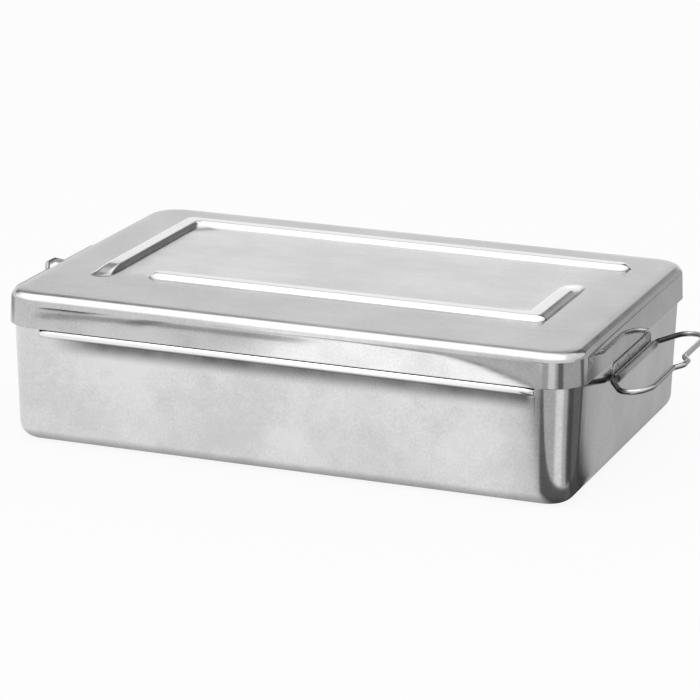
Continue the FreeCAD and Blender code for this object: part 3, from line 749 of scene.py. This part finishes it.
def bail_line():
    """Points and directions along the bent wire, in its own plane: (out from the hinge, along it)."""
    corners = HALF_LOOP + [(x, -y, bend) for x, y, bend in reversed(HALF_LOOP)]
    stops = np.array([(0, 0.4)] + [corner[:2] for corner in corners] + [(0, -0.4)], float)
    bends = [corner[2] for corner in corners]
    points = [stops[:1]]
    ways = []
    for before, corner, after, bend in zip(stops, stops[1:], stops[2:], bends):
        come = (corner - before) / np.linalg.norm(corner - before)
        go = (after - corner) / np.linalg.norm(after - corner)
        turn = math.atan2(come[0] * go[1] - come[1] * go[0], come @ go)
        cut = bend * math.tan(abs(turn) / 2)
        left = math.copysign(1, turn)
        centre = corner - come * cut + left * bend * np.array([-come[1], come[0]])
        steps = max(4, round(abs(math.degrees(turn)) / 6))
        angle = math.atan2(come[1], come[0]) + np.linspace(0, turn, steps + 1)
        points.append(centre + left * bend * np.stack([np.sin(angle), -np.cos(angle)], axis=-1))
        ways.append(np.stack([np.cos(angle), np.sin(angle)], axis=-1))
    points.append(stops[-1:])
    ways = [ways[0][:1]] + ways + [ways[-1][-1:]]
    return np.concatenate(points), np.concatenate(ways)


def bail_patches(side, angle, around=24):
    """A tube of circles across the line: centre + r (cos sideways + sin plane normal), and two flat ends."""
    line, way = bail_line()
    sideways = np.stack([way[:, 1], -way[:, 0]], axis=-1)
    turn = np.linspace(0, 2 * math.pi, around, endpoint=False)
    local = line[:, None, :] + WIRE_RADIUS * np.cos(turn)[None, :, None] * sideways[:, None, :]
    lift = np.broadcast_to(WIRE_RADIUS * np.sin(turn), local.shape[:2])
    c, s = math.cos(math.radians(angle)), math.sin(math.radians(angle))
    x = side * (HINGE[0] + local[:, :, 0] * c - lift * s)
    z = HINGE[1] + local[:, :, 0] * s + lift * c
    tube = np.stack([x, local[:, :, 1], z], axis=-1)
    faces = grid_faces(*tube.shape[:2], wrap_columns=True)
    if side > 0:
        faces = faces[:, ::-1]
    caps = []
    for ring, flip in ((tube[0], side < 0), (tube[-1], side > 0)):
        fan = np.stack([ring, np.broadcast_to(ring.mean(axis=0), ring.shape)])
        spokes = grid_faces(*fan.shape[:2], wrap_columns=True)
        caps.append((fan, spokes[:, ::-1] if flip else spokes))
    return [(tube, faces)] + caps


make_piece("right_wire_bail", bail_patches(1, 5), "right_handle", "right_handle", wire_steel)
make_piece("left_wire_bail", bail_patches(-1, 43), "left_handle", "left_handle", wire_steel)

# %% [markdown]
# ## The floor and the light
# Polished steel shows its surroundings, so the studio is designed from the reflections backwards. The floor
# and the room are white to the camera. Only rays from a mirror see the zones below. Each was found by
# following the camera's rays off the steel to the place that they meet, in metres on the floor and in
# degrees in the room. First comes the floor itself, a wide sheet a hair below the pan.

# %% Floor sheet
EDGE, DROP = 9.0, -0.0002
floor_mesh = bpy.data.meshes.new("studio_floor")
corners = [(-EDGE, -EDGE, DROP), (EDGE, -EDGE, DROP), (EDGE, EDGE, DROP), (-EDGE, EDGE, DROP)]
floor_mesh.from_pydata(corners, [], [(0, 1, 2, 3)])
studio_floor = bpy.data.objects.new("studio_floor", floor_mesh)
bpy.context.scene.collection.objects.link(studio_floor)
floor_material = bpy.data.materials.new("floor_paper")
floor_mesh.materials.append(floor_material)
kit = Kit(floor_material)
floor_x, floor_y, _ = kit.place_parts()
print("floor sheet %.0f m wide" % (2 * EDGE))

# %% [markdown]
# A vertical corner of the box sweeps its mirror image round the floor, so its zones are sectors: bearings
# about the centre of the corner's round. The near ones show in the pan, the far ones in the lid's skirt.
# They give the bright column, the dark wedge beside it and the thin dark lines that make a corner read as
# bent steel. The end wall mirrors the greyer field at the right.

# %% Sectors about the corners


def polar(x, y, centre_x, centre_y):
    """Distance from a centre and bearing about it in degrees, from +X towards +Y."""
    dx, dy = x - centre_x, y - centre_y
    return (dx * dx + dy * dy) ** 0.5, dy.math("ARCTAN2", dx) * (180 / math.pi)


CORNER_X, CORNER_Y = 0.134, 0.083
right_far, right_bearing = polar(floor_x, floor_y, CORNER_X, -CORNER_Y)
left_far, left_bearing = polar(floor_x, floor_y, -CORNER_X, -CORNER_Y)
near = 1 - right_far.smooth(0.23, 0.30)
side_line = floor_x - (floor_y + 0.11) * 0.35
beside_end = floor_x.smooth(0.140, 0.146) * floor_y.smooth(-0.09, -0.08)
beyond = side_line.smooth(0.160, 0.170).math("MAXIMUM", beside_end)
column = span(right_bearing, -55, -29, 6) * near + span(right_bearing, -82, -62, 4) * (1 - near)
wedge = span(right_bearing, -14, 63, 5) * near
wedge_lines = (span(right_bearing, -8, 10, 6) + span(right_bearing, 50, 66, 5)) * near
crease = (span(right_bearing, -54, -38, 4) + span(right_bearing, 22, 38, 4)) * (1 - near)
around_right = beyond * (0.51 - column * 0.45 + wedge * 0.41 + wedge_lines * 0.07 + crease * 0.38)
around_left = span(left_bearing, 138, 172, 8) * left_far.smooth(0.24, 0.30) * 0.55
print("sectors about the corners at x %.3f and y %.3f" % (CORNER_X, -CORNER_Y))

# %% [markdown]
# The front wall mirrors the floor close in front of it. It darkens towards the corner, to a thin dark line
# at the end of the flat, and the pan's own shade on the floor gives the bottom round its darker foot.

# %% In front of the pan
close = floor_y.smooth(-0.34, -0.28)
front_shade = side_line.smooth(0.102, 0.134) * (1 - beyond) * 0.24
front_shade = (front_shade + span(side_line, 0.1305, 0.1640, 0.004) * 0.70) * close
foot_x = (floor_x.size() - CORNER_X).math("MAXIMUM", 0.0)
foot_y = (floor_y.size() - CORNER_Y).math("MAXIMUM", 0.0)
from_foot = (foot_x * foot_x + foot_y * foot_y) ** 0.5 - 0.006
foot_shade = (1 - from_foot.smooth(0.0, 0.016)) * 0.60 * (1 - floor_x.smooth(0.12, 0.16) * 0.6)
print("zones in front of the pan up to y -0.34")

# %% [markdown]
# The lid's skirt leans out, so it mirrors the floor farther off, where 7 cm stand for the skirt's whole
# height. There lie the white field of its middle, the long grey streak with a smudge and a short dark
# streak above it at the left, and at the right the grey wedge with a dark line for its lower border.

# %% Far in front, for the skirt
front_far = span(floor_y, -0.62, -0.33, 0.03)
lateral = floor_x - (floor_y + 0.43) * 0.386
far_white = span(lateral, -0.150, -0.045, 0.02) * (1 - floor_y.smooth(-0.63, -0.57))
skirt_white = front_far * span(floor_x, -0.135, 0.06, 0.03) * 0.62 + far_white * 0.5
left_side = front_far * (1 - floor_x.smooth(-0.17, -0.11))
streak_way = floor_y + (floor_x + 0.29).math("MINIMUM", 0.069) * 0.29
middle_streak = span(streak_way, -0.443, -0.416, 0.004) * span(floor_x, -0.290, -0.120, 0.015)
smudge = span(floor_x, -0.234, -0.217, 0.003) * span(floor_y, -0.480, -0.430, 0.006)
dark_streak = span(floor_x, -0.308, -0.268, 0.008) * span(floor_y, -0.500, -0.459, 0.004)
wedge_line = floor_x - (floor_y + 0.46) * 1.04
wedge_tone = wedge_line.smooth(-0.036, -0.030) * 0.60 + span(wedge_line, -0.036, -0.025, 0.003) * 0.26
right_wedge = front_far * (1 - beyond) * wedge_tone
skirt_sees = (1.0 + skirt_white - left_side * 0.05) * (1 - middle_streak * 0.56) * (1 - smudge * 0.50)
skirt_sees = skirt_sees * (1 - right_wedge) * (1 - dark_streak * 0.95)
print("zones for the skirt from y -0.33 to -0.62")

# %% [markdown]
# The paper takes the object's shadow with a tenth of its brightness and glows with the rest, so that it is
# white to the camera without more light on the object.

# %% Floor paper
seen_in_steel = skirt_sees * (1 - front_shade) * (1 - around_right) * (1 - around_left) * (1 - foot_shade)
is_camera, is_glossy, is_through = kit.rays()
paper = kit.node("ShaderNodeBsdfDiffuse", {}, {"Color": grey(0.82)})
glow_level = is_glossy * seen_in_steel + (1 - is_glossy)
glow = kit.node("ShaderNodeEmission", {}, {"Color": grey(1.0), "Strength": glow_level})
share = (is_camera + is_through + is_glossy) * 0.90
both = kit.node("ShaderNodeMixShader", {}, {0: share, 1: paper, 2: glow})
kit.node("ShaderNodeOutputMaterial", {}, {"Surface": both})
print("floor paper: %d nodes" % len(kit.tree.nodes))

# %% [markdown]
# ## The room
# The lid's top and ribs mirror the room. The climb of a ray is its angle above the horizon, and its heading
# the angle from straight back towards the right. High up it is brighter, which whitens the ribs' flanks and
# the rounded edge. A card at the back right is dark in the ribs' short legs, a thin low band draws a line
# along the edge, and a bright strip in front widens the middle of the highlight.

# %% Room
world = bpy.data.worlds.new("white_room")
bpy.context.scene.world = world
kit = Kit(world)
is_camera, is_glossy, is_through = kit.rays()
way_x, way_y, way_z = kit.parts(kit.node("ShaderNodeTexCoord", out="Generated"))
climb = way_z.math("ARCSINE") * (180 / math.pi)
heading = way_x.math("ARCTAN2", way_y) * (180 / math.pi)
at_back = way_y.smooth(-0.1, 0.1)
above = climb.smooth(29, 52) * at_back + climb.smooth(18, 42) * (1 - at_back)
front_card = span(way_x, -0.375, -0.322, 0.010) * (1 - at_back) * (1 - climb.smooth(34, 44))
card_foot = (climb + heading.math("MAXIMUM", 6.0) * 0.3).smooth(20.0, 23.5)
rib_card = heading.smooth(-13, -7) * (1 - heading.smooth(25, 31)) * card_foot * (1 - climb.smooth(44, 50))
low_right = heading.smooth(4, 14) * (1 - heading.smooth(80, 100)) * (1 - climb.smooth(15, 19))
left_end = 1 - heading.smooth(-25.5, -23.0)
line_band = span(climb + left_end * 2.5, 21.5, 33, 1.5) * (0.58 + left_end * 0.22)
line_band = line_band * (1 - heading.smooth(-8, 0)) * heading.smooth(-70, -50)
steel_sees = 0.95 + above * 0.26 + front_card * 0.30 - rib_card * 1.1 - low_right * 0.42 - line_band
seen = is_camera + is_through + is_glossy * steel_sees.math("MAXIMUM", 0.12)
level = seen + (1 - is_camera - is_glossy - is_through) * 0.75
room = kit.node("ShaderNodeBackground", {}, {"Color": grey(1.0), "Strength": level})
kit.node("ShaderNodeOutputWorld", {}, {"Surface": room})
print("room: %d nodes" % len(kit.tree.nodes))

# %% [markdown]
# One wide soft box above the front gives the top surfaces their even light. A rectangular lamp's power is
# its radiance times its area times pi.

# %% Soft box
LAMP_WIDTH, LAMP_DEPTH, RADIANCE = 2.4, 1.5, 1.25
lamp_data = bpy.data.lights.new("top_soft_box", "AREA")
lamp_data.shape = "RECTANGLE"
lamp_data.size = LAMP_WIDTH
lamp_data.size_y = LAMP_DEPTH
lamp_data.energy = RADIANCE * LAMP_WIDTH * LAMP_DEPTH * math.pi
lamp = bpy.data.objects.new("top_soft_box", lamp_data)
lamp.location = (0.1, -0.5, 2.2)
lamp.rotation_euler = (-lamp.location).to_track_quat("-Z", "Y").to_euler()
bpy.context.scene.collection.objects.link(lamp)
print("soft box %.1f W" % lamp_data.energy)

# %% [markdown]
# ## The camera
# The photograph is a long-lens view from the near right, a little above the lid. The camera's place was
# fitted to the box's own edges: its distance, its angle above the table and round the box, and a slight
# roll. Its lens follows from the focal length in pixels and a frame 700 pixels wide.

# %% Camera
AZIMUTH, ELEVATION, ROLL = math.radians(20.581), math.radians(16.065), math.radians(0.768)
DISTANCE, SIDEWAYS, UPWARDS = 1.79497, -0.00032, 0.03663
FOCAL_PIXELS, FRAME_PIXELS = 3452, 700

back = Vector((math.sin(AZIMUTH) * math.cos(ELEVATION), -math.cos(AZIMUTH) * math.cos(ELEVATION),
               math.sin(ELEVATION)))
right = (-back).cross(Vector((0, 0, 1))).normalized()
up = right.cross(-back)
right, up = math.cos(ROLL) * right + math.sin(ROLL) * up, math.cos(ROLL) * up - math.sin(ROLL) * right
camera_data = bpy.data.cameras.new("photo_camera")
camera_data.sensor_width = 36
camera_data.lens = FOCAL_PIXELS / FRAME_PIXELS * 36
camera_data.clip_end = 60
camera = bpy.data.objects.new("photo_camera", camera_data)
turned = Matrix((right, up, back)).transposed().to_4x4()
camera.matrix_world = Matrix.Translation(back * DISTANCE + right * SIDEWAYS + up * UPWARDS) @ turned
bpy.context.scene.collection.objects.link(camera)
bpy.context.scene.camera = camera
bpy.context.scene.view_settings.view_transform = "Standard"
print("camera %.2f m away, lens %.0f mm" % (DISTANCE, camera_data.lens))

# %% [markdown]
# ## The last update
# The view layer is brought up to date.

# %% Update
bpy.context.view_layer.update()
